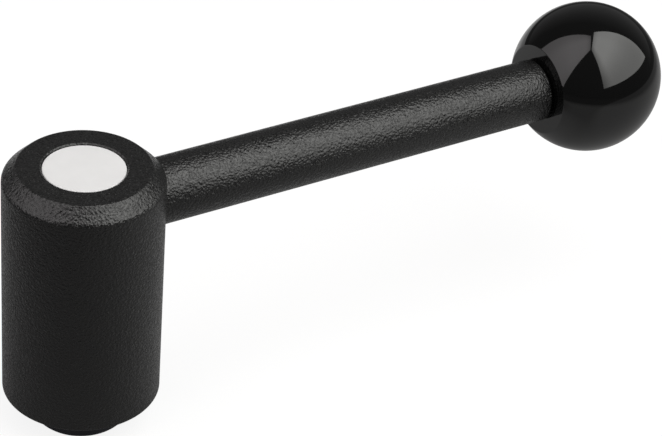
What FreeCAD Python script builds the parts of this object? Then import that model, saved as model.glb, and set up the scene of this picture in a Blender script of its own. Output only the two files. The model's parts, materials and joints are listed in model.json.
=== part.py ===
import FreeCAD, Part
import math
import os

# A tension lever. A round hub with an arm and a ball knob turns a threaded insert through index teeth.
# Pulled up against its spring, the hub comes out of the teeth and swings to another position.
# Lengths are in millimetres and angles in degrees. The origin is the centre of the insert's seating face,
# +Z runs up the thread's axis and +X runs along the arm.

# Thread in the insert, for the stud or screw that the lever tightens
stud_thread = 10.0
stud_pitch = 1.5
stud_depth = 16.0
stud_mouth_chamfer = 0.8
drill_point = 118.0

# Insert
shank_radius = 7.5
foot_projection = 5.2  # how far the insert stands out below the hub
foot_chamfer = 0.4
guide_length = 15.1  # length of hub that is guided on the shank
relief_width = 1.5  # groove where the tooth cutter runs out
neck_length = 1.5
neck_step = 0.5  # from the tooth roots in to the neck

# Index teeth, the same on the insert and in the hub
tooth_count = 24
tooth_length = 4.5
tooth_depth = 0.8
tooth_land = 0.35  # width of a tooth at its tip
tooth_flank = 30.0  # slope of a flank from the tooth's middle line
tooth_lead_in = 0.45
tooth_backlash = 0.04  # between two flanks
tooth_root_gap = 0.15
guide_clearance = 0.08  # between shank and guide bore, on the radius

# Retaining screw, low head with a hexagon socket
screw_thread = 6.0
screw_length = 20.0
screw_head_radius = 5.0
screw_head_height = 4.0
screw_head_rounding = 0.4
screw_point_chamfer = 0.7
socket_flats = 4.0
socket_depth = 2.3
socket_point = 120.0
screw_thread_gap = 0.03
screw_mouth_chamfer = 0.4

# Spring that holds the hub down in the teeth
spring_wire = 1.0
spring_screw_gap = 0.6
spring_coils = 5.0
spring_closed_coils = 1.0  # at each end
spring_closed_gap = 0.06
spring_pitch_change = 0.5  # turns over which the pitch opens out
spring_ground = 0.25  # wire left at each ground tip
spring_reserve = 0.5  # height left over the solid spring when the hub is right up
lift_over_teeth = 1.0  # how far the teeth are pulled apart beyond their own length

# Hub
hub_radius = 12.3
web_thickness = 3.0
web_hole_clearance = 0.3
chamber_clearance = 0.5  # round the screw's head
hub_top_chamfer = 2.15
hub_shoulder_rounding = 1.0  # where the chamfer meets the side
hub_rim_rounding = 0.4  # where the chamfer meets the top
hub_foot_chamfer = 0.35
cutter_run_out = 0.25

# Cover cap
cap_seat_width = 0.9  # step that the cap's skirt stands on
cap_recess = 0.15
cap_thickness = 1.1
cap_rim_rounding = 0.2
cap_edge_gap = 0.1
cap_skirt_gap = 0.35
cap_skirt_wall = 0.85
cap_skirt_length = 3.25
cap_rib_count = 6
cap_rib_radius = 0.5
cap_rib_gap = 0.02
cap_screw_gap = 0.25
cap_mouth_chamfer = 0.2

# Arm
arm_radius = 5.15
arm_below_chamfer = 0.6
arm_seat_wall = 0.7  # metal left between the arm's end and the cap's bore
arm_seat_gap = 0.02
arm_end_chamfer = 0.65
stub_thread = 6.0
stub_length = 10.0
stub_chamfer = 0.7
stub_undercut = 0.6
stub_undercut_width = 1.2

# Ball knob
ball_radius = 12.5
ball_flat = 10.0  # from the ball's centre to its flat
ball_reach = 93.0  # from the hub's axis to the ball's centre
ball_flat_rounding = 0.3
ball_hole_gap = 0.03
ball_hole_spare = 1.5
ball_mouth_chamfer = 0.5

# Heights that follow from the stack of pieces inside the hub
hub_bottom = foot_projection
tooth_bottom = hub_bottom + guide_length
tooth_top = tooth_bottom + tooth_length
insert_top = tooth_top + neck_length
web_top = insert_top + web_thickness
lift_travel = tooth_length + lift_over_teeth
spring_height = spring_coils * spring_wire + lift_travel + spring_reserve
head_bottom = web_top + spring_height
head_top = head_bottom + screw_head_height
cap_bottom = head_top + cap_screw_gap
cap_seat = cap_bottom - cap_skirt_length
cap_top = cap_bottom + cap_thickness
hub_top = cap_top + cap_recess
arm_height = hub_top - hub_top_chamfer - arm_below_chamfer - arm_radius

# Radii and reaches that follow from what passes through or meets them
stud_core = (stud_thread - stud_pitch) / 2
tooth_root = shank_radius - tooth_depth
neck_radius = tooth_root - neck_step
guide_radius = shank_radius + guide_clearance
screw_radius = screw_thread / 2
screw_bore = screw_radius + screw_thread_gap
spring_middle_radius = screw_radius + spring_screw_gap + spring_wire / 2
chamber_radius = screw_head_radius + chamber_clearance
cap_bore = chamber_radius + cap_seat_width
cap_skirt_radius = cap_bore - cap_skirt_gap
stub_radius = stub_thread / 2
arm_start = cap_bore + arm_seat_wall
arm_shoulder = ball_reach - ball_flat

origin = FreeCAD.Vector(0, 0, 0)
upward = FreeCAD.Vector(0, 0, 1)


def turned(profile):
    # solid turned about Z from its (radius, height) corners
    corners = [FreeCAD.Vector(radius, 0, height) for radius, height in profile]
    return Part.Face(Part.makePolygon(corners + corners[:1])).revolve(origin, upward, 360)


def rod(radius, low, high):
    return Part.makeCylinder(radius, high - low, FreeCAD.Vector(0, 0, low))


def rounded(solid, radius, *rims):
    # rounds the circular edges that lie at the given (radius, height) rims
    edges = []
    for edge in solid.Edges:
        if edge.Degenerated or not isinstance(edge.Curve, Part.Circle):
            continue
        for rim_radius, rim_height in rims:
            high = abs(edge.Curve.Center.z - rim_height) < 1e-6
            if high and abs(edge.Curve.Radius - rim_radius) < 1e-6:
                edges.append(edge)
    return solid.makeFillet(radius, edges)


def polar(radius, angle, height):
    turn = math.radians(angle)
    return FreeCAD.Vector(radius * math.cos(turn), radius * math.sin(turn), height)


def arc(radius, first, last, height):
    middle = (first + last) / 2
    return Part.Arc(*(polar(radius, angle, height) for angle in (first, middle, last))).toShape()


def toothed_bar(tip, root, flank_gap, low, high):
    # bar with straight-flanked teeth round it; flank_gap thickens each tooth evenly on both flanks
    slope = math.radians(tooth_flank)
    reach = (tooth_land / 2 + shank_radius * math.tan(slope)) * math.cos(slope) + flank_gap
    tip_angle = math.degrees(math.asin(reach / tip) - slope)
    root_angle = math.degrees(math.asin(reach / root) - slope)
    pitch = 360 / tooth_count
    edges = []
    for tooth in range(tooth_count):
        middle = tooth * pitch
        foot = [polar(root, middle + side * root_angle, low) for side in (-1, 1)]
        crest = [polar(tip, middle + side * tip_angle, low) for side in (-1, 1)]
        edges.append(Part.makeLine(foot[0], crest[0]))
        edges.append(arc(tip, middle - tip_angle, middle + tip_angle, low))
        edges.append(Part.makeLine(crest[1], foot[1]))
        edges.append(arc(root, middle + root_angle, middle + pitch - root_angle, low))
    return Part.Face(Part.Wire(edges)).extrude(upward * (high - low))


def make_toothed_insert():
    shank = turned([
        (0, 0),
        (shank_radius - foot_chamfer, 0),
        (shank_radius, foot_chamfer),
        (shank_radius, tooth_bottom - relief_width),
        (tooth_root, tooth_bottom - relief_width),
        (tooth_root, tooth_bottom),
        (neck_radius, tooth_bottom),
        (neck_radius, insert_top),
        (0, insert_top),
    ])
    teeth = toothed_bar(shank_radius, tooth_root, 0, tooth_bottom, tooth_top)
    lead_in = turned([
        (0, tooth_bottom),
        (shank_radius, tooth_bottom),
        (shank_radius, tooth_top - tooth_lead_in),
        (shank_radius - tooth_lead_in, tooth_top),
        (0, tooth_top),
    ])
    drill_cone = (stud_core - screw_bore) / math.tan(math.radians(drill_point / 2))
    hole = turned([
        (0, 0),
        (stud_core + stud_mouth_chamfer, 0),
        (stud_core, stud_mouth_chamfer),
        (stud_core, stud_depth),
        (screw_bore, stud_depth + drill_cone),
        (screw_bore, insert_top - screw_mouth_chamfer),
        (screw_bore + screw_mouth_chamfer, insert_top),
        (0, insert_top),
    ])
    return shank.fuse(teeth.common(lead_in)).cut(hole).removeSplitter()


def make_retaining_screw():
    point = head_bottom - screw_length
    blank = turned([
        (0, point),
        (screw_radius - screw_point_chamfer, point),
        (screw_radius, point + screw_point_chamfer),
        (screw_radius, head_bottom),
        (screw_head_radius, head_bottom),
        (screw_head_radius, head_top),
        (0, head_top),
    ])
    blank = rounded(blank, screw_head_rounding, (screw_head_radius, head_top))
    corner = socket_flats / 2 / math.cos(math.radians(30))
    socket_floor = head_top - socket_depth
    outline = [polar(corner, 60 * side, socket_floor) for side in range(7)]
    socket = Part.Face(Part.makePolygon(outline)).extrude(upward * socket_depth)
    cone_depth = socket_flats / 2 / math.tan(math.radians(socket_point / 2))
    drill = Part.makeCone(0, socket_flats / 2, cone_depth, FreeCAD.Vector(0, 0, socket_floor - cone_depth))
    return blank.cut(socket).cut(drill)


def make_lift_spring():
    # closed coils at both ends, open ones between, and both ends ground flat
    closed_pitch = spring_wire + spring_closed_gap
    open_coils = spring_coils - 2 * spring_closed_coils
    rise = spring_height + spring_wire - 2 * spring_ground
    widening = (rise - spring_coils * closed_pitch) / open_coils
    start = web_top + spring_ground - spring_wire / 2

    def opened(turns):
        # turns made at the open pitch, easing in over the change of pitch
        half = spring_pitch_change / 2
        if abs(turns) < half:
            return (turns + half) ** 2 / (4 * half)
        return max(turns, 0)

    steps = round(16 * spring_coils)
    points = []
    for step in range(steps + 1):
        turns = spring_coils * step / steps
        open_turns = opened(turns - spring_closed_coils) - opened(turns - spring_coils + spring_closed_coils)
        height = start + closed_pitch * turns + widening * open_turns
        points.append(polar(spring_middle_radius, 360 * turns, height))
    path = Part.BSplineCurve()
    path.interpolate(points)
    section = Part.makeCircle(spring_wire / 2, points[0], path.tangent(path.FirstParameter)[0])
    sweep = Part.BRepOffsetAPI.MakePipeShell(Part.Wire(path.toShape()))
    sweep.setBiNormalMode(upward)
    sweep.add(Part.Wire(section))
    sweep.build()
    sweep.makeSolid()
    outer_radius = spring_middle_radius + spring_wire
    return sweep.shape().common(rod(outer_radius, web_top, head_bottom))


def make_hub():
    shoulder = hub_top - hub_top_chamfer
    blank = turned([
        (0, hub_bottom),
        (hub_radius - hub_foot_chamfer, hub_bottom),
        (hub_radius, hub_bottom + hub_foot_chamfer),
        (hub_radius, shoulder),
        (hub_radius - hub_top_chamfer, hub_top),
        (0, hub_top),
    ])
    blank = rounded(blank, hub_shoulder_rounding, (hub_radius, shoulder))
    blank = rounded(blank, hub_rim_rounding, (hub_radius - hub_top_chamfer, hub_top))
    bore = turned([
        (0, hub_bottom),
        (guide_radius + hub_foot_chamfer, hub_bottom),
        (guide_radius, hub_bottom + hub_foot_chamfer),
        (guide_radius, tooth_bottom),
        (guide_radius - tooth_lead_in, tooth_bottom + tooth_lead_in),
        (0, tooth_bottom + tooth_lead_in),
    ])
    teeth = toothed_bar(guide_radius, tooth_root + tooth_root_gap, tooth_backlash, tooth_bottom, tooth_top)
    upper = turned([
        (0, tooth_top),
        (guide_radius + cutter_run_out, tooth_top),
        (guide_radius + cutter_run_out, insert_top),
        (screw_radius + web_hole_clearance, insert_top),
        (screw_radius + web_hole_clearance, web_top),
        (chamber_radius, web_top),
        (chamber_radius, cap_seat),
        (cap_bore, cap_seat),
        (cap_bore, hub_top - cap_mouth_chamfer),
        (cap_bore + cap_mouth_chamfer, hub_top),
        (0, hub_top),
    ])
    arm_seat = Part.makeCylinder(
        arm_radius + arm_seat_gap, hub_radius, FreeCAD.Vector(arm_start, 0, arm_height), FreeCAD.Vector(1, 0, 0)
    )
    return blank.cut([bore, teeth, upper, arm_seat])


def make_cover_cap():
    cap_radius = cap_bore - cap_edge_gap
    cap = turned([
        (0, cap_bottom),
        (cap_skirt_radius - cap_skirt_wall, cap_bottom),
        (cap_skirt_radius - cap_skirt_wall, cap_seat),
        (cap_skirt_radius, cap_seat),
        (cap_skirt_radius, cap_bottom),
        (cap_radius, cap_bottom),
        (cap_radius, cap_top),
        (0, cap_top),
    ])
    cap = rounded(cap, cap_rim_rounding, (cap_radius, cap_top))
    ribs = []
    for rib in range(cap_rib_count):
        middle = polar(cap_bore - cap_rib_gap - cap_rib_radius, 360 * rib / cap_rib_count, cap_seat)
        ribs.append(Part.makeCylinder(cap_rib_radius, cap_bottom - cap_seat, middle))
    return cap.fuse(ribs).cut(rod(cap_skirt_radius - cap_skirt_wall, cap_seat, cap_bottom)).removeSplitter()


def lay_along_arm(solid):
    # turns a solid that was made round Z, so that its own +Z runs out along the arm's axis
    solid.rotate(origin, FreeCAD.Vector(0, 1, 0), 90)
    solid.translate(upward * arm_height)
    return solid


def make_lever_arm():
    end = arm_shoulder + stub_length
    return lay_along_arm(turned([
        (0, arm_start),
        (arm_radius, arm_start),
        (arm_radius, arm_shoulder - arm_end_chamfer),
        (arm_radius - arm_end_chamfer, arm_shoulder),
        (stub_radius - stub_undercut, arm_shoulder),
        (stub_radius - stub_undercut, arm_shoulder + stub_undercut_width),
        (stub_radius, arm_shoulder + stub_undercut_width + stub_undercut),
        (stub_radius, end - stub_chamfer),
        (stub_radius - stub_chamfer, end),
        (0, end),
    ]))


def make_ball_knob():
    flat_radius = math.sqrt(ball_radius**2 - ball_flat**2)
    flat_angle = math.degrees(math.asin(ball_flat / ball_radius))
    middle = FreeCAD.Vector(0, 0, ball_reach)

    def on_ball(angle):
        turn = math.radians(angle)
        return middle + FreeCAD.Vector(ball_radius * math.cos(turn), 0, ball_radius * math.sin(turn))

    flat = FreeCAD.Vector(0, 0, arm_shoulder)
    half_section = Part.Wire([
        Part.makeLine(flat, on_ball(-flat_angle)),
        Part.Arc(on_ball(-flat_angle), on_ball((90 - flat_angle) / 2), on_ball(90)).toShape(),
        Part.makeLine(on_ball(90), flat),
    ])
    ball = Part.Face(half_section).revolve(origin, upward, 360)
    ball = rounded(ball, ball_flat_rounding, (flat_radius, arm_shoulder))
    hole_radius = stub_radius + ball_hole_gap
    hole_end = arm_shoulder + stub_length + ball_hole_spare
    hole = turned([
        (0, arm_shoulder),
        (hole_radius + ball_mouth_chamfer, arm_shoulder),
        (hole_radius, arm_shoulder + ball_mouth_chamfer),
        (hole_radius, hole_end),
        (0, hole_end + hole_radius / math.tan(math.radians(drill_point / 2))),
    ])
    return lay_along_arm(ball.cut(hole))


makers = {
    "toothed_insert": make_toothed_insert,
    "retaining_screw": make_retaining_screw,
    "lift_spring": make_lift_spring,
    "hub": make_hub,
    "lever_arm": make_lever_arm,
    "ball_knob": make_ball_knob,
    "cover_cap": make_cover_cap,
}

os.makedirs("parts", exist_ok=True)
for name, make in makers.items():
    piece = make()
    print(name, "valid" if piece.isValid() else "NOT VALID", len(piece.Solids), round(piece.Volume, 2))
    piece.exportStep(f"parts/{name}.step")
print("hub top", hub_top, "arm height", arm_height, "lift", lift_travel, "spring", spring_height)
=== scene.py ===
import json
import math

import bmesh
import bpy
from mathutils import Matrix, Vector


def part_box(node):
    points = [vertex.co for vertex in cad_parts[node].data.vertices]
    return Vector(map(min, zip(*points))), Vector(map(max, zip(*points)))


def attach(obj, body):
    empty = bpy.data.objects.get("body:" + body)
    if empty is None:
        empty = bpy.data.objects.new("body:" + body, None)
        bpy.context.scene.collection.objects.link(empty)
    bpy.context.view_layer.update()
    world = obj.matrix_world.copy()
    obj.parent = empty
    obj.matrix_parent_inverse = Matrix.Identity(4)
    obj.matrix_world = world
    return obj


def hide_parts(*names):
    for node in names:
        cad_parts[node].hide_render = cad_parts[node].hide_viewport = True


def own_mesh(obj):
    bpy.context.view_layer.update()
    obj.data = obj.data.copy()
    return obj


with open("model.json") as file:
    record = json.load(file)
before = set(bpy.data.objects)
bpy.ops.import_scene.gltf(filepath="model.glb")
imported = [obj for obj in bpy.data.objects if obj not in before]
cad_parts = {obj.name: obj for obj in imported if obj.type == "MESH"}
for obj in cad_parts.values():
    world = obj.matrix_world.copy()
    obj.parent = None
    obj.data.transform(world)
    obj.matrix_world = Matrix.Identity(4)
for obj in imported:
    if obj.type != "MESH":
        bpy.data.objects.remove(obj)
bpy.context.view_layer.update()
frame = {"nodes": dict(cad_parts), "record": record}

mm = 0.001
nodes = frame["nodes"]
bodies = frame["record"]["behaviour"]["bodies"]
bodyOf = {node: body for body, members in bodies.items() for node in members}
print("frame loaded:", ", ".join(sorted(nodes)))


def linearColour(hexColour):
    channels = [int(hexColour[start:start + 2], 16) / 255 for start in (1, 3, 5)]
    return [c / 12.92 if c <= 0.04045 else ((c + 0.055) / 1.055) ** 2.4 for c in channels] + [1]


def addNode(tree, kind, settings=None, links=None):
    # a setting is one of the node's own properties or else a socket, by name or number; a link is a socket
    node = tree.nodes.new("ShaderNode" + kind)
    for key, value in (settings or {}).items():
        if not isinstance(key, int) and hasattr(node, key):
            setattr(node, key, value)
    for key, value in (settings or {}).items():
        if isinstance(key, int) or not hasattr(node, key):
            node.inputs[key].default_value = value
    for key, source in (links or {}).items():
        tree.links.new(source, node.inputs[key])
    return node


def newMaterial(name):
    material = bpy.data.materials.new(name)
    material.use_nodes = True
    material.node_tree.nodes.clear()
    return material, material.node_tree


noiseSpread = (0.3, 0.7)  # most of a noise texture lies between these levels

# Powder coat: polyester powder with a fine structure, sprayed on the steel and baked.
# The eye gets a deep, even black, with a sandy grain that shows wherever a light's edge falls on it.
powderCoat = {
    "colour": "#101010",
    "paleColour": "#171717",  # thinner film on the crowns of the grain
    "filmLevels": (0.35, 0.7),  # levels of the grain between which the film thins
    "ior": 1.6,
    "grain": 0.3,  # millimetres from crown to crown
    "grainHeight": 0.1,
    "pebble": 0.38,  # millimetres across the rounder drops of powder that melted last
    "pebbleHeight": 0.12,
    "roughness": (0.14, 0.45),  # from the crowns, which flowed out well, to the pits between them
    "roughnessLevels": (0.6, 0.4),  # levels of the grain at which crowns and pits start
    "drift": 6.0,  # millimetres across the slow changes of gloss
    "driftRoughness": 0.06,
    "bareRadius": 7.9,  # the bore is masked before spraying, up to this radius and height
    "bareHeight": 41.3,
    "bareColour": "#57585a",
    "bareRoughness": 0.35,
}


def makePowderCoat():
    look = powderCoat
    material, tree = newMaterial("polyesterPowderCoat")
    place = addNode(tree, "TexCoord").outputs["Object"]
    grain = addNode(tree, "TexNoise", {
        "Scale": 1 / (look["grain"] * mm), "Detail": 1.5, "Roughness": 0.45}, {"Vector": place})
    pebble = addNode(tree, "TexVoronoi", {
        "feature": "SMOOTH_F1", "Scale": 1 / (look["pebble"] * mm)}, {"Vector": place})
    drift = addNode(tree, "TexNoise", {"Scale": 1 / (look["drift"] * mm), "Detail": 1}, {"Vector": place})

    # bare steel inside the masked bore
    axes = addNode(tree, "SeparateXYZ", {}, {0: place})
    flat = addNode(tree, "CombineXYZ", {}, {0: axes.outputs[0], 1: axes.outputs[1]})
    reach = addNode(tree, "VectorMath", {"operation": "LENGTH"}, {0: flat.outputs[0]})
    inside = addNode(tree, "Math", {"operation": "LESS_THAN", 1: look["bareRadius"] * mm}, {
        0: reach.outputs["Value"]})
    below = addNode(tree, "Math", {"operation": "LESS_THAN", 1: look["bareHeight"] * mm}, {
        0: axes.outputs[2]})
    bare = addNode(tree, "Math", {"operation": "MULTIPLY"}, {0: inside.outputs[0], 1: below.outputs[0]})

    coat = addNode(tree, "MapRange", {
        "From Min": look["filmLevels"][0], "From Max": look["filmLevels"][1]}, {"Value": grain.outputs[0]})
    film = addNode(tree, "Mix", {
        "data_type": "RGBA", 6: linearColour(look["colour"]), 7: linearColour(look["paleColour"]),
    }, {0: coat.outputs[0]})
    colour = addNode(tree, "Mix", {"data_type": "RGBA", 7: linearColour(look["bareColour"])}, {
        0: bare.outputs[0], 6: film.outputs[2]})

    pits = addNode(tree, "MapRange", {
        "From Min": look["roughnessLevels"][0], "From Max": look["roughnessLevels"][1],
        "To Min": look["roughness"][0], "To Max": look["roughness"][1],
    }, {"Value": grain.outputs[0]})
    gloss = addNode(tree, "Math", {"operation": "MULTIPLY_ADD", 1: look["driftRoughness"]}, {
        0: drift.outputs[0], 2: pits.outputs[0]})
    rough = addNode(tree, "Mix", {3: look["bareRoughness"]}, {0: bare.outputs[0], 2: gloss.outputs[0]})

    lumps = addNode(tree, "Math", {
        "operation": "MULTIPLY", 1: -look["pebbleHeight"] / look["grainHeight"],
    }, {0: pebble.outputs["Distance"]})
    height = addNode(tree, "Math", {"operation": "ADD"}, {0: grain.outputs[0], 1: lumps.outputs[0]})
    bump = addNode(tree, "Bump", {"Strength": 1, "Distance": look["grainHeight"] * mm}, {
        "Height": height.outputs[0]})
    shader = addNode(tree, "BsdfPrincipled", {"IOR": look["ior"]}, {
        "Base Color": colour.outputs[2], "Roughness": rough.outputs[0], "Metallic": bare.outputs[0],
        "Normal": bump.outputs[0],
    })
    addNode(tree, "OutputMaterial", {}, {"Surface": shader.outputs[0]})
    return material


# Phenolic resin: compression moulded in a hot polished tool, then tumbled.
# The eye gets piano black with mirror-sharp reflections that waver a little.
phenolic = {
    "colour": "#0a0a0a",
    "ior": 1.6,
    "roughness": (0.03, 0.06),
    "ripple": 3.0,  # millimetres across a wave left by the tumbling
    "rippleHeight": 0.004,
    "haze": 0.6,  # millimetres across the patches of slightly duller polish
}


def makePhenolic():
    look = phenolic
    material, tree = newMaterial("mouldedPhenolic")
    place = addNode(tree, "TexCoord").outputs["Object"]
    ripple = addNode(tree, "TexNoise", {"Scale": 1 / (look["ripple"] * mm), "Detail": 1}, {"Vector": place})
    haze = addNode(tree, "TexNoise", {"Scale": 1 / (look["haze"] * mm), "Detail": 3}, {"Vector": place})
    gloss = addNode(tree, "MapRange", {
        "From Min": noiseSpread[0], "From Max": noiseSpread[1],
        "To Min": look["roughness"][0], "To Max": look["roughness"][1],
    }, {"Value": haze.outputs[0]})
    bump = addNode(tree, "Bump", {"Strength": 1, "Distance": look["rippleHeight"] * mm}, {
        "Height": ripple.outputs[0]})
    shader = addNode(tree, "BsdfPrincipled", {
        "Base Color": linearColour(look["colour"]), "IOR": look["ior"],
    }, {"Roughness": gloss.outputs[0], "Normal": bump.outputs[0]})
    addNode(tree, "OutputMaterial", {}, {"Surface": shader.outputs[0]})
    return material


# Acetal: injection moulded against a finely sparked tool.
# The eye gets a cool off-white with a soft sheen and no sharp reflections.
acetal = {
    "colour": "#dadada",
    "paleColour": "#e1e1e1",
    "ior": 1.48,
    "roughness": 0.42,
    "cloud": 2.5,  # millimetres across the clouds of flow in the moulding
    "spark": 0.2,  # millimetres between the pits of the sparked finish
    "sparkHeight": 0.004,
}


def makeAcetal():
    look = acetal
    material, tree = newMaterial("mouldedAcetal")
    place = addNode(tree, "TexCoord").outputs["Object"]
    cloud = addNode(tree, "TexNoise", {"Scale": 1 / (look["cloud"] * mm), "Detail": 2}, {"Vector": place})
    pits = addNode(tree, "TexNoise", {"Scale": 1 / (look["spark"] * mm), "Detail": 2}, {"Vector": place})
    colour = addNode(tree, "Mix", {
        "data_type": "RGBA", 6: linearColour(look["colour"]), 7: linearColour(look["paleColour"]),
    }, {0: cloud.outputs[0]})
    bump = addNode(tree, "Bump", {"Strength": 1, "Distance": look["sparkHeight"] * mm}, {
        "Height": pits.outputs[0]})
    shader = addNode(tree, "BsdfPrincipled", {"Roughness": look["roughness"], "IOR": look["ior"]}, {
        "Base Color": colour.outputs[2], "Normal": bump.outputs[0]})
    addNode(tree, "OutputMaterial", {}, {"Surface": shader.outputs[0]})
    return material


# Black oxide: turned steel, blackened in a hot salt bath and oiled.
# The eye gets a blue-black metal with fine rings left by the turning tool.
blackOxide = {
    "name": "blackOxideSteel",
    "colour": "#4c4c50",
    "paleColour": "#5e5e63",
    "roughness": (0.3, 0.45),
    "feed": 0.25,  # millimetres from groove to groove; a real feed of 0.1 would be too fine to show
    "feedHeight": 0.004,
    "stain": 4.0,  # millimetres across the patches of oil and oxide
}

# Zinc plate: a bright bath-plated layer with a clear blue passivate, on a cold-headed screw.
# The eye gets a light, slightly cold grey metal with soft reflections.
zincPlate = {
    "name": "zincPlatedSteel",
    "colour": "#a9adb3",
    "paleColour": "#c3c6ca",
    "roughness": (0.24, 0.36),
    "feed": 0.4,  # millimetres between the flow lines of the heading, drawn coarser than real
    "feedHeight": 0.001,
    "stain": 2.0,
}

# Spring wire: patented carbon steel, drawn through a die, coiled cold and lightly oiled.
# The eye gets a dark grey metal with a satin gleam along the coils.
springWire = {
    "name": "drawnSpringWire",
    "colour": "#6d7075",
    "paleColour": "#84878b",
    "roughness": (0.22, 0.34),
    "feed": 0.3,  # millimetres between the marks of die and coiling rolls, drawn coarser than real
    "feedHeight": 0.0015,
    "stain": 1.5,
}


def makeSteel(look):
    material, tree = newMaterial(look["name"])
    place = addNode(tree, "TexCoord").outputs["Object"]
    # a wave texture at scale 1 repeats every pi / 10
    markScale = math.pi / 10 / (look["feed"] * mm)
    marks = [
        addNode(tree, "TexWave", {
            "wave_type": kind, way: "Z", "Scale": markScale, "Distortion": 0.4}, {"Vector": place})
        for kind, way in (("BANDS", "bands_direction"), ("RINGS", "rings_direction"))
    ]
    feed = addNode(tree, "Math", {"operation": "ADD"}, {
        0: marks[0].outputs["Fac"], 1: marks[1].outputs["Fac"]})
    stain = addNode(tree, "TexNoise", {"Scale": 1 / (look["stain"] * mm), "Detail": 3}, {"Vector": place})
    colour = addNode(tree, "Mix", {
        "data_type": "RGBA", 6: linearColour(look["colour"]), 7: linearColour(look["paleColour"]),
    }, {0: stain.outputs[0]})
    gloss = addNode(tree, "MapRange", {
        "From Min": noiseSpread[0], "From Max": noiseSpread[1],
        "To Min": look["roughness"][0], "To Max": look["roughness"][1],
    }, {"Value": stain.outputs[0]})
    bump = addNode(tree, "Bump", {"Strength": 1, "Distance": look["feedHeight"] * mm}, {
        "Height": feed.outputs[0]})
    shader = addNode(tree, "BsdfPrincipled", {"Metallic": 1}, {
        "Base Color": colour.outputs[2], "Roughness": gloss.outputs[0], "Normal": bump.outputs[0]})
    addNode(tree, "OutputMaterial", {}, {"Surface": shader.outputs[0]})
    return material


def dress(piece, material):
    piece.data.materials.clear()
    piece.data.materials.append(material)


powder = makePowderCoat()
print("coat of hub and arm made")

# Turned pieces: each is a stack of rings round its own axis, in millimetres
turning = {
    "weld": 0.0005,  # points closer than this are one
    "sharpAngle": 34.0,  # degrees between two faces from which their edge stays sharp
    "easeSteps": 3,  # faces over an eased corner
    "rowsPerPitch": 14,  # rings over one turn of a thread
}
upright = Matrix.Scale(mm, 4)
armLow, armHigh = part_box("lever_arm")
armHeight = (armLow.z + armHigh.z) / 2
alongArm = Matrix.Translation((0, 0, armHeight)) @ Matrix.Rotation(math.radians(90), 4, "Y") @ upright

# The thread that joins screw and insert, and arm and ball, as radii in millimetres
smallThread = {"major": 3.0, "minor": 2.4, "pitch": 1.0, "gap": 0.03}


def finishMesh(name, work):
    bmesh.ops.remove_doubles(work, verts=work.verts, dist=turning["weld"] * mm)
    bmesh.ops.recalc_face_normals(work, faces=work.faces)
    mesh = bpy.data.meshes.new(name)
    work.to_mesh(mesh)
    work.free()
    mesh.shade_smooth()
    mesh.set_sharp_from_angle(angle=math.radians(turning["sharpAngle"]))
    piece = bpy.data.objects.new(name, mesh)
    bpy.context.scene.collection.objects.link(piece)
    return piece


def turnedPiece(name, rows, turns, lay=upright):
    # rows are (radius, height); turns are the places of the columns, from 0 to 1 round the axis.
    # A radius may be a function of the turn, and 0 closes a row to a point.
    work = bmesh.new()
    rings = []
    for radius, height in rows:
        ring = []
        for turn in turns if radius != 0 else [0]:
            reach = radius(turn) if callable(radius) else radius
            angle = 2 * math.pi * turn
            point = Vector((reach * math.cos(angle), reach * math.sin(angle), height))
            ring.append(work.verts.new(lay @ point))
        rings.append(ring)
    if rows[0][0] != 0:
        rings.append(rings[0])  # a bored piece: its last ring meets the first
    for low, high in zip(rings, rings[1:]):
        for here in range(len(turns)):
            on = (here + 1) % len(turns)
            corners = (low[here % len(low)], low[on % len(low)],
                       high[on % len(high)], high[here % len(high)])
            work.faces.new(list(dict.fromkeys(corners)))
    return finishMesh(name, work)


def evenTurns(count):
    return [column / count for column in range(count)]


def eased(outline, ease, steps=turning["easeSteps"]):
    # every corner between the ends gives way to a short curve
    soft = [outline[0]]
    for before, corner, after in zip(outline, outline[1:], outline[2:]):
        here, back, on = Vector(corner), Vector(before) - Vector(corner), Vector(after) - Vector(corner)
        start = here + back.normalized() * min(ease, back.length / 2)
        end = here + on.normalized() * min(ease, on.length / 2)
        for step in range(steps + 1):
            share = step / steps
            soft.append(tuple(start.lerp(here, share).lerp(here.lerp(end, share), share)))
    return soft + [outline[-1]]


def threadRows(low, high, plain, turned, pitch):
    # a right-hand 60 degree thread on a pin or bore of the plain radius; its turns reach the turned radius,
    # are flat there over an eighth of the pitch, leave a quarter plain and fade in and out at the ends
    narrow, wide = 1 / 16, 3 / 8

    def radiusAt(turn, height):
        off = abs((height / pitch - turn) % 1 - 0.5)
        rise = min(max((wide - off) / (wide - narrow), 0), 1)
        fade = min(max(min(height - low, high - height) / pitch, 0), 1)
        return plain + (turned - plain) * rise * fade

    count = round((high - low) / pitch * turning["rowsPerPitch"])
    heights = [low + (high - low) * row / count for row in range(count + 1)]
    return [(lambda turn, height=height: radiusAt(turn, height), height) for height in heights]


def install(piece, node, material):
    dress(piece, material)
    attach(piece, bodyOf[node])
    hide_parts(node)
    print(piece.name, "made,", len(piece.data.polygons), "faces")


toothedInsert = {
    "footChamfer": 0.4,
    "reliefWidth": 1.5,  # groove where the tooth cutter runs out
    "toothCount": 24,
    "toothLength": 4.5,
    "toothDepth": 0.8,
    "toothLand": 0.35,  # width of a tooth at its tip
    "toothFlank": 30.0,  # degrees from the tooth's middle line
    "leadIn": 0.45,
    "neckRadius": 6.2,
    "neckLength": 1.5,
    "studMajor": 5.0,  # radius at the bottom of the stud thread's grooves
    "studMinor": 4.25,
    "studPitch": 1.5,
    "studDepth": 16.0,
    "mouthChamfer": 0.8,
    "drillPoint": 118.0,
    "screwMouth": 0.4,
    "edgeEase": 0.08,
}


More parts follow.
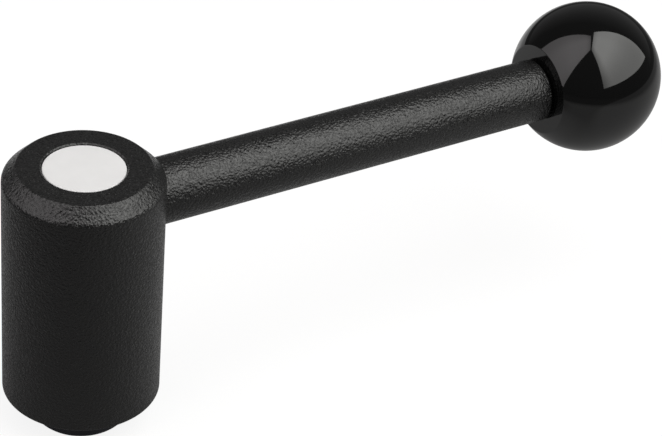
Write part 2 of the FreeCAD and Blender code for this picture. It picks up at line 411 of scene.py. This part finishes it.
def makeToothedInsert():
    size = toothedInsert
    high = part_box("toothed_insert")[1]
    tip, top = high.x / mm, high.z / mm
    root = tip - size["toothDepth"]
    toothHigh = top - size["neckLength"]
    toothLow = toothHigh - size["toothLength"]
    guideTop = toothLow - size["reliefWidth"]

    # columns stand at both ends of every flank, with two more in every gap
    flank = math.radians(size["toothFlank"])
    reach = (size["toothLand"] / 2 + tip * math.tan(flank)) * math.cos(flank)
    tipTurn, rootTurn = ((math.asin(reach / radius) - flank) / (2 * math.pi) for radius in (tip, root))
    pitchTurn = 1 / size["toothCount"]
    gapTurn = (pitchTurn - 2 * rootTurn) / 3
    stops = (-rootTurn, -tipTurn, tipTurn, rootTurn, rootTurn + gapTurn, rootTurn + 2 * gapTurn)
    turns = [tooth * pitchTurn + stop for tooth in range(size["toothCount"]) for stop in stops]

    def toothRadius(limit):
        # tooth tips reach out to the limit, and the gaps between them stay at the root
        def radius(turn):
            off = abs((turn + pitchTurn / 2) % pitchTurn - pitchTurn / 2)
            return limit if off < (tipTurn + rootTurn) / 2 else root
        return radius

    bore = smallThread["major"] + smallThread["gap"]
    cone = (size["studMinor"] - bore) / math.tan(math.radians(size["drillPoint"] / 2))
    rows = eased([
        (size["studMinor"] + size["mouthChamfer"], 0), (tip - size["footChamfer"], 0),
        (tip, size["footChamfer"]), (tip, guideTop), (root, guideTop), (root, toothLow),
    ], size["edgeEase"])
    rows += [
        (toothRadius(tip), toothLow), (toothRadius(tip), toothHigh - size["leadIn"]),
        (toothRadius(tip - size["leadIn"]), toothHigh), (size["neckRadius"], toothHigh),
    ]
    rows += eased([
        (size["neckRadius"], toothHigh), (size["neckRadius"], top),
        (bore + size["screwMouth"], top), (bore, top - size["screwMouth"]),
    ], size["edgeEase"])
    rows += reversed(threadRows(
        size["studDepth"] + cone, top - size["screwMouth"],
        bore, smallThread["minor"] + smallThread["gap"], smallThread["pitch"]))
    rows += reversed(threadRows(
        size["mouthChamfer"], size["studDepth"], size["studMinor"], size["studMajor"], size["studPitch"]))
    piece = turnedPiece("toothedInsert", rows, turns)
    install(piece, "toothed_insert", makeSteel(blackOxide))


retainingScrew = {
    "headHeight": 4.0,
    "headRounding": 0.4,
    "headSteps": 6,
    "socketFlats": 4.0,
    "socketDepth": 2.3,
    "socketPoint": 120.0,
    "socketMouth": 0.2,
    "mouthSpare": 0.02,  # from the hexagon's corners out to the edge of its round mouth
    "pointChamfer": 0.7,
    "underHead": 1.5,  # plain shank between thread and head
    "edgeEase": 0.15,
    "columns": 96,
}


def makeRetainingScrew():
    size = retainingScrew
    low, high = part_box("retaining_screw")
    point, top, headRadius = low.z / mm, high.z / mm, high.x / mm
    seat = top - size["headHeight"]
    shank = smallThread["major"]
    apothem = size["socketFlats"] / 2

    def hexagon(turn):
        off = math.radians(360 * turn % 60 - 30)
        return apothem / math.cos(off)

    floor = top - size["socketDepth"]
    mouth = hexagon(0) + size["mouthSpare"]
    threadLow, threadHigh = point + size["pointChamfer"], seat - size["underHead"]
    rows = [(0, point), (shank - size["pointChamfer"], point), (shank, threadLow)]
    rows += threadRows(threadLow, threadHigh, shank, smallThread["minor"], smallThread["pitch"])
    rows += eased([(shank, threadHigh), (shank, seat), (headRadius, seat)], size["edgeEase"])
    rows += eased([(headRadius, seat), (headRadius, top), (mouth, top)],
                  size["headRounding"], size["headSteps"])
    rows += [
        (mouth, top), (hexagon, top - size["socketMouth"]), (hexagon, floor), (apothem, floor),
        (0, floor - apothem / math.tan(math.radians(size["socketPoint"] / 2))),
    ]
    piece = turnedPiece("retainingScrew", rows, evenTurns(size["columns"]))
    install(piece, "retaining_screw", makeSteel(zincPlate))


liftSpring = {
    "wire": 1.0,
    "middleRadius": 4.1,
    "coils": 5.0,
    "closedCoils": 1.0,  # at each end
    "closedGap": 0.06,
    "groundTip": 0.25,  # wire left at each ground end
    "pitchEase": 0.4,  # share of the rise over the open coils that starts and ends softly
    "seatGap": 0.02,  # left under the spring when the hub is right up
    "stepsPerCoil": 56,
    "sides": 18,
}


def makeLiftSpring():
    size = liftSpring
    low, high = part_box("lift_spring")
    bottom, top, wire = low.z / mm, high.z / mm, size["wire"]
    closedPitch = wire + size["closedGap"]
    openCoils = size["coils"] - 2 * size["closedCoils"]
    start = bottom + size["groundTip"] - wire / 2
    rise = top - bottom + wire - 2 * size["groundTip"]
    openRise = rise - closedPitch * size["coils"]

    def heightAt(turns):
        opened = min(max((turns - size["closedCoils"]) / openCoils, 0), 1)
        soft = opened * opened * (3 - 2 * opened)
        share = size["pitchEase"] * soft + (1 - size["pitchEase"]) * opened
        return start + closedPitch * turns + openRise * share

    work = bmesh.new()
    rings = []
    for step in range(round(size["coils"] * size["stepsPerCoil"]) + 1):
        turns = step / size["stepsPerCoil"]
        angle = 2 * math.pi * turns
        ring = []
        centre = heightAt(turns)
        for side in range(size["sides"]):
            around = 2 * math.pi * side / size["sides"]
            # both ends are ground flat, where the wire is as wide as it was cut
            height = min(max(centre + wire / 2 * math.sin(around), bottom), top)
            half = math.sqrt(max((wire / 2) ** 2 - (height - centre) ** 2, 0))
            reach = size["middleRadius"] + min(max(wire / 2 * math.cos(around), -half), half)
            point = Vector((reach * math.cos(angle), reach * math.sin(angle), height))
            ring.append(work.verts.new(upright @ point))
        rings.append(ring)
    for before, after in zip(rings, rings[1:]):
        for side in range(size["sides"]):
            on = (side + 1) % size["sides"]
            work.faces.new((before[side], before[on], after[on], after[side]))
    work.faces.new(rings[0])
    work.faces.new(rings[-1])
    piece = finishMesh("liftSpring", work)
    install(piece, "lift_spring", makeSteel(springWire))
    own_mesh(piece)


leverArm = {
    "endChamfer": 0.65,
    "undercut": 0.6,
    "undercutWidth": 1.2,
    "pointChamfer": 0.7,
    "edgeEase": 0.12,
    "columns": 128,
}


def makeLeverArm():
    size = leverArm
    start, end = armLow.x / mm, armHigh.x / mm
    radius = (armHigh.z - armLow.z) / 2 / mm
    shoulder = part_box("ball_knob")[0].x / mm  # where the arm's end meets the ball's flat
    stub = smallThread["major"]
    groove = stub - size["undercut"]
    threadLow = shoulder + size["undercutWidth"] + size["undercut"]
    rows = eased([
        (0, start), (radius, start), (radius, shoulder - size["endChamfer"]),
        (radius - size["endChamfer"], shoulder), (groove, shoulder),
        (groove, shoulder + size["undercutWidth"]), (stub, threadLow),
    ], size["edgeEase"])
    rows += threadRows(
        threadLow, end - size["pointChamfer"], stub, smallThread["minor"], smallThread["pitch"])
    rows += [(stub - size["pointChamfer"], end), (0, end)]
    piece = turnedPiece("leverArm", rows, evenTurns(size["columns"]), alongArm)
    install(piece, "lever_arm", powder)


ballKnob = {
    "rimRounding": 0.3,
    "rimSteps": 6,
    "holeSpare": 1.5,  # depth left beyond the end of the arm's stub
    "mouthChamfer": 0.5,
    "drillPoint": 118.0,
    "arcRows": 76,
    "columns": 144,
}


def makeBallKnob():
    size = ballKnob
    low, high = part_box("ball_knob")
    radius, flat, pole = min(high.y - low.y, high.z - low.z) / 2 / mm, low.x / mm, high.x / mm
    centre = pole - radius
    rim = size["rimRounding"]
    off = centre - flat - rim
    rimRadius = math.sqrt((radius - rim) ** 2 - off ** 2)
    rimAngle = math.atan2(-off, rimRadius)
    quarter = math.pi / 2
    hole = smallThread["major"] + smallThread["gap"]
    holeEnd = armHigh.x / mm + size["holeSpare"]
    rows = [(0, holeEnd + hole / math.tan(math.radians(size["drillPoint"] / 2)))]
    rows += reversed(threadRows(
        flat + size["mouthChamfer"], holeEnd,
        hole, smallThread["minor"] + smallThread["gap"], smallThread["pitch"]))
    rows += [(hole + size["mouthChamfer"], flat)]
    for step in range(size["rimSteps"] + 1):
        turn = -quarter + (rimAngle + quarter) * step / size["rimSteps"]
        rows.append((rimRadius + rim * math.cos(turn), flat + rim + rim * math.sin(turn)))
    for row in range(1, size["arcRows"]):
        turn = rimAngle + (quarter - rimAngle) * row / size["arcRows"]
        rows.append((radius * math.cos(turn), centre + radius * math.sin(turn)))
    rows.append((0, pole))
    piece = turnedPiece("ballKnob", rows, evenTurns(size["columns"]), alongArm)
    install(piece, "ball_knob", makePhenolic())


coverCap = {
    "thickness": 1.1,
    "dome": 0.04,  # how far the disc falls from its middle to its rim
    "domeRings": 5,
    "rimRounding": 0.2,
    "rimSteps": 8,
    "discStep": 0.08,  # from the ribs' reach in to the disc's rim
    "skirtStep": 0.33,  # from the ribs' reach in to the skirt
    "skirtWall": 0.85,
    "ribCount": 6,
    "ribRadius": 0.5,
    "columns": 192,
}


def makeCoverCap():
    size = coverCap
    low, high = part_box("cover_cap")
    seat, top, reach = low.z / mm, high.z / mm, high.x / mm
    disc, outer = reach - size["discStep"], reach - size["skirtStep"]
    inner = outer - size["skirtWall"]
    under = top - size["thickness"]
    rim = size["rimRounding"]
    between = 360 / size["ribCount"]

    def skirt(turn):
        # ribs that crush as the skirt is pressed into its bore
        off = math.radians((360 * turn + between / 2) % between - between / 2)
        middle = reach - size["ribRadius"]
        across = middle * math.sin(off)
        if abs(across) >= size["ribRadius"]:
            return outer
        return max(outer, middle * math.cos(off) + math.sqrt(size["ribRadius"] ** 2 - across ** 2))

    rows = [(0, top)]
    for ring in range(1, size["domeRings"]):
        share = ring / size["domeRings"]
        rows.append((share * (disc - rim), top - size["dome"] * share ** 2))
    for step in range(size["rimSteps"] + 1):
        turn = math.pi / 2 * (1 - step / size["rimSteps"])
        rows.append((disc - rim + rim * math.cos(turn), top - size["dome"] - rim + rim * math.sin(turn)))
    rows += [(disc, under), (skirt, under), (skirt, seat), (inner, seat), (inner, under), (0, under)]
    piece = turnedPiece("coverCap", rows, evenTurns(size["columns"]))
    install(piece, "cover_cap", makeAcetal())


makeToothedInsert()
makeRetainingScrew()
makeLiftSpring()
makeLeverArm()
makeBallKnob()
makeCoverCap()
dress(nodes["hub"], powder)
print("pieces made")


def direction(azimuth, elevation):
    # from the object outwards; azimuth 0 is the -Y side and 90 the +X side
    turn, lift = math.radians(azimuth), math.radians(elevation)
    flat = math.cos(lift)
    return Vector((math.sin(turn) * flat, -math.cos(turn) * flat, math.sin(lift)))


def facing(outward, roll=0):
    # turns an object's own +Z to outward, with its X level before the roll
    right = Vector((0, 0, 1)).cross(outward).normalized()
    up = outward.cross(right)
    basis = Matrix((right, up, outward)).transposed()
    return basis @ Matrix.Rotation(math.radians(roll), 3, "Z")


# Studio: pale paper, two tall soft boxes and a dim room. Lengths are in metres.
studio = {
    "cameraWhite": 1.0,  # the paper and the room as the camera sees them

    "floorSize": 12.0,
    "floorColour": "#767676",
    "poolCentre": (0.085, 0.0, 0.0),  # a pool of light painted on the paper, in its colour and in its glow
    "poolFade": (0.125, 0.215),  # distances from its centre at which it starts and ends to fade
    "poolEdge": 0.12,  # share of the light that is left outside it
    "shadowDepth": 0.15,  # how much of the pool's white is lamp light, which a shadow takes away
    "shineGlow": 0.07,  # a painted glow of the pool that only shiny faces see, on top of its lamp light
    "farGlow": 0.04,  # the same painted glow outside the pool
    "paintedShinePatches": [  # painted reflections that shiny faces see brighter or, below 0, darker; a darker one is painted shade
        {"centre": (0.262, -0.11, 0.0), "fade": (0.185, 0.21), "glow": 0.11},  # painted reflection to the right
        {"centre": (0.07, 0.2, 0.0), "fade": (0.1, 0.17), "glow": 0.37},  # painted reflection behind
        {"centre": (0.05, -0.005, 0.0), "fade": (0.015, 0.052), "glow": 0.1},  # painted reflection under the arm
        {"centre": (0.03, 0.07, 0.0), "fade": (0.05, 0.11), "glow": 0.07},  # painted reflection behind hub and arm
        {"centre": (-0.025, -0.036, 0.0), "fade": (0.015, 0.055), "glow": -0.08},  # painted shade at the hub's foot
    ],

    "roomFill": 0.12,  # even light from the room on matt faces
    "roomDark": 0.05,  # what shiny faces see of the room
    "roomGlow": 0.14,  # a paler part of it, that they see
    "roomGlowFrom": (140, 0),  # its azimuth and elevation in degrees
    "roomGlowFade": (0.5, 0.9),  # cosines of the angle from there at which it ends and is full

    "softBoxes": [  # angles in degrees, offset from the ball's centre, sides as shares of the glow
        {"azimuth": 52.6, "lean": 11.6, "roll": -5.5, "offset": (0.066, -0.262, 0.834),
         "width": 0.86, "height": 1.46, "glow": 3.05, "foot": 0.57, "sides": (0.55, 0.85),
         "colour": "#fffffc"},
        {"azimuth": -125.7, "lean": 15.3, "roll": 2.1, "offset": (-0.303, -0.057, 0.806),
         "width": 0.66, "height": 1.54, "glow": 1.47, "foot": 0.75, "sides": (0.72, 0.92),
         "colour": "#fffafb"},
    ],
    "footHeight": 0.35,  # share of a soft box's height over which its foot is dimmer
    "topGlow": 0.72,  # share of the glow that is left at its top
    "edgeWidth": 0.35,  # share of its width or height over which a side or its top is dimmer
}


def shinyRays(tree, rays):
    return addNode(tree, "Math", {"operation": "MAXIMUM"}, {
        0: rays.outputs["Is Glossy Ray"], 1: rays.outputs["Is Transmission Ray"]})


def makeFloor():
    half = studio["floorSize"] / 2
    mesh = bpy.data.meshes.new("studioFloor")
    corners = [(-half, -half, 0), (half, -half, 0), (half, half, 0), (-half, half, 0)]
    mesh.from_pydata(corners, [], [(0, 1, 2, 3)])
    floor = bpy.data.objects.new("studioFloor", mesh)
    bpy.context.scene.collection.objects.link(floor)
    material, tree = newMaterial("studioPaper")
    place = addNode(tree, "TexCoord").outputs["Object"]
    reach = addNode(tree, "VectorMath", {"operation": "DISTANCE", 1: studio["poolCentre"]}, {0: place})
    pool = addNode(tree, "MapRange", {
        "interpolation_type": "SMOOTHSTEP", "To Min": 1, "To Max": studio["poolEdge"],
        "From Min": studio["poolFade"][0], "From Max": studio["poolFade"][1],
    }, {"Value": reach.outputs["Value"]})
    rays = addNode(tree, "LightPath")

    # what the camera sees
    white = addNode(tree, "Math", {
        "operation": "MULTIPLY_ADD", 1: -studio["shadowDepth"], 2: studio["cameraWhite"],
    }, {0: pool.outputs[0]})
    seen = addNode(tree, "Math", {"operation": "MULTIPLY"}, {
        0: white.outputs[0], 1: rays.outputs["Is Camera Ray"]})

    # painted reflection: a glow of the paper that only shiny faces see
    paintedSheen = addNode(tree, "Mix", {2: studio["farGlow"], 3: studio["shineGlow"]}, {0: pool.outputs[0]})
    # painted reflections and painted shade: each patch adds glow, or takes it away, where only shiny faces
    # see the paper
    for patch in studio["paintedShinePatches"]:
        off = addNode(tree, "VectorMath", {"operation": "DISTANCE", 1: patch["centre"]}, {0: place})
        bright = addNode(tree, "MapRange", {
            "interpolation_type": "SMOOTHSTEP", "To Min": patch["glow"], "To Max": 0,
            "From Min": patch["fade"][0], "From Max": patch["fade"][1],
        }, {"Value": off.outputs["Value"]})
        paintedSheen = addNode(tree, "Math", {"operation": "ADD"}, {0: bright.outputs[0], 1: paintedSheen.outputs[0]})
    shine = addNode(tree, "Math", {"operation": "MULTIPLY"}, {
        0: shinyRays(tree, rays).outputs[0], 1: paintedSheen.outputs[0]})

    glow = addNode(tree, "Math", {"operation": "ADD"}, {0: seen.outputs[0], 1: shine.outputs[0]})
    # painted pool of light: the paper's colour fades from its grey to black outside the pool
    paper = addNode(tree, "Mix", {
        "data_type": "RGBA", 6: (0, 0, 0, 1), 7: linearColour(studio["floorColour"]),
    }, {0: pool.outputs[0]})
    matt = addNode(tree, "BsdfDiffuse", {}, {"Color": paper.outputs[2]})
    light = addNode(tree, "Emission", {}, {"Strength": glow.outputs[0]})
    both = addNode(tree, "AddShader", {}, {0: matt.outputs[0], 1: light.outputs[0]})
    addNode(tree, "OutputMaterial", {}, {"Surface": both.outputs[0]})
    dress(floor, material)


def makeLights():
    ballLow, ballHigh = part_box("ball_knob")
    centre = (ballLow + ballHigh) / 2
    far = 1 - studio["edgeWidth"]
    for number, box in enumerate(studio["softBoxes"]):
        light = bpy.data.lights.new(f"softBox{number}", "AREA")
        light.shape = "RECTANGLE"
        light.size, light.size_y = box["width"], box["height"]
        light.energy = box["glow"] * math.pi * box["width"] * box["height"]
        light.color = linearColour(box["colour"])[:3]
        light.use_nodes = True
        tree = light.node_tree
        tree.nodes.clear()
        across = addNode(tree, "SeparateXYZ", {}, {0: addNode(tree, "NewGeometry").outputs["Parametric"]})
        strength = None
        for axis, start, end, share in (  # the glow falls to a share towards each side, the foot and the top
            (0, 0, studio["edgeWidth"], box["sides"][0]), (0, 1, far, box["sides"][1]),
            (1, 0, studio["footHeight"], box["foot"]), (1, 1, far, studio["topGlow"]),
        ):
            fade = addNode(tree, "MapRange", {
                "interpolation_type": "SMOOTHSTEP", "From Min": start, "From Max": end,
                "To Min": share, "To Max": 1,
            }, {"Value": across.outputs[axis]}).outputs[0]
            strength = addNode(tree, "Math", {"operation": "MULTIPLY"}, {
                0: fade, 1: strength}).outputs[0] if strength else fade
        glow = addNode(tree, "Emission", {}, {"Strength": strength})
        addNode(tree, "OutputLight", {}, {"Surface": glow.outputs[0]})
        lamp = bpy.data.objects.new(light.name, light)
        bpy.context.scene.collection.objects.link(lamp)
        lamp.location = centre + Vector(box["offset"])
        lamp.rotation_mode = "QUATERNION"
        outward = direction(box["azimuth"], box["lean"])
        lamp.rotation_quaternion = facing(outward, box["roll"]).to_quaternion()
        lamp.visible_camera = False


def makeRoom():
    world = bpy.data.worlds.new("dimRoom")
    bpy.context.scene.world = world
    world.use_nodes = True
    tree = world.node_tree
    tree.nodes.clear()
    rays = addNode(tree, "LightPath")
    towards = addNode(tree, "VectorMath", {
        "operation": "DOT_PRODUCT", 1: direction(*studio["roomGlowFrom"]),
    }, {0: addNode(tree, "TexCoord").outputs["Generated"]})
    wall = addNode(tree, "MapRange", {
        "From Min": studio["roomGlowFade"][0], "From Max": studio["roomGlowFade"][1],
        "To Min": studio["roomDark"], "To Max": studio["roomGlow"],
    }, {"Value": towards.outputs["Value"]})
    dim = addNode(tree, "Mix", {2: studio["roomFill"]}, {
        0: shinyRays(tree, rays).outputs[0], 3: wall.outputs[0]})
    level = addNode(tree, "Mix", {3: studio["cameraWhite"]}, {
        0: rays.outputs["Is Camera Ray"], 2: dim.outputs[0]})
    glow = addNode(tree, "Background", {"Color": (1, 1, 1, 1)}, {"Strength": level.outputs[0]})
    addNode(tree, "OutputWorld", {}, {"Surface": glow.outputs[0]})


camera = {
    "azimuth": -33.8,
    "elevation": 34.7,
    "roll": 4.95,
    "distance": 373.2 * mm,
    "aim": (35.97 * mm, -12.69 * mm, 33.97 * mm),
    "lens": 132.0,  # millimetres, as the sensor
    "sensor": 36.0,
    "clip": (0.01, 50.0),  # metres
}


def makeCamera():
    data = bpy.data.cameras.new("productCamera")
    data.lens, data.sensor_width = camera["lens"], camera["sensor"]
    data.clip_start, data.clip_end = camera["clip"]
    eye = bpy.data.objects.new("productCamera", data)
    bpy.context.scene.collection.objects.link(eye)
    outward = direction(camera["azimuth"], camera["elevation"])
    eye.location = Vector(camera["aim"]) + camera["distance"] * outward
    eye.rotation_mode = "QUATERNION"
    eye.rotation_quaternion = facing(outward, camera["roll"]).to_quaternion()
    bpy.context.scene.camera = eye


makeFloor()
makeLights()
makeRoom()
makeCamera()
bpy.context.scene.view_settings.view_transform = "Standard"
print("studio made")
